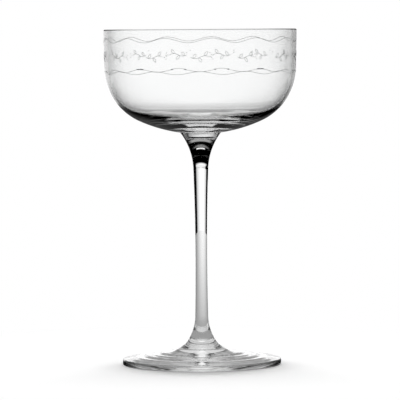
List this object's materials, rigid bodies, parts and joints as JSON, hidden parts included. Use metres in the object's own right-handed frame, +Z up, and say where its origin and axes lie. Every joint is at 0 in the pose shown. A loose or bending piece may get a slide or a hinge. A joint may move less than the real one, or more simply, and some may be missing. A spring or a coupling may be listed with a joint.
{
  "type": "champagne coupe",
  "caption": "Clear glass champagne coupe: a wide dished bowl with a thin lip on a slim drawn stem and a flat round foot.",
  "frame": {"origin": "on the table plane at the middle of the foot", "axes": "+Z up along the glass's axis of turning; +X and +Y are any two directions square to it"},
  "size_m": [0.095, 0.095, 0.165],
  "materials": {
    "clear_glass": "clear colourless glass, blown and fire-polished, glossy"
  },
  "bodies": {
    "root": {"bowl": "clear_glass", "stem": "clear_glass", "foot": "clear_glass"}
  },
  "joints": []
}
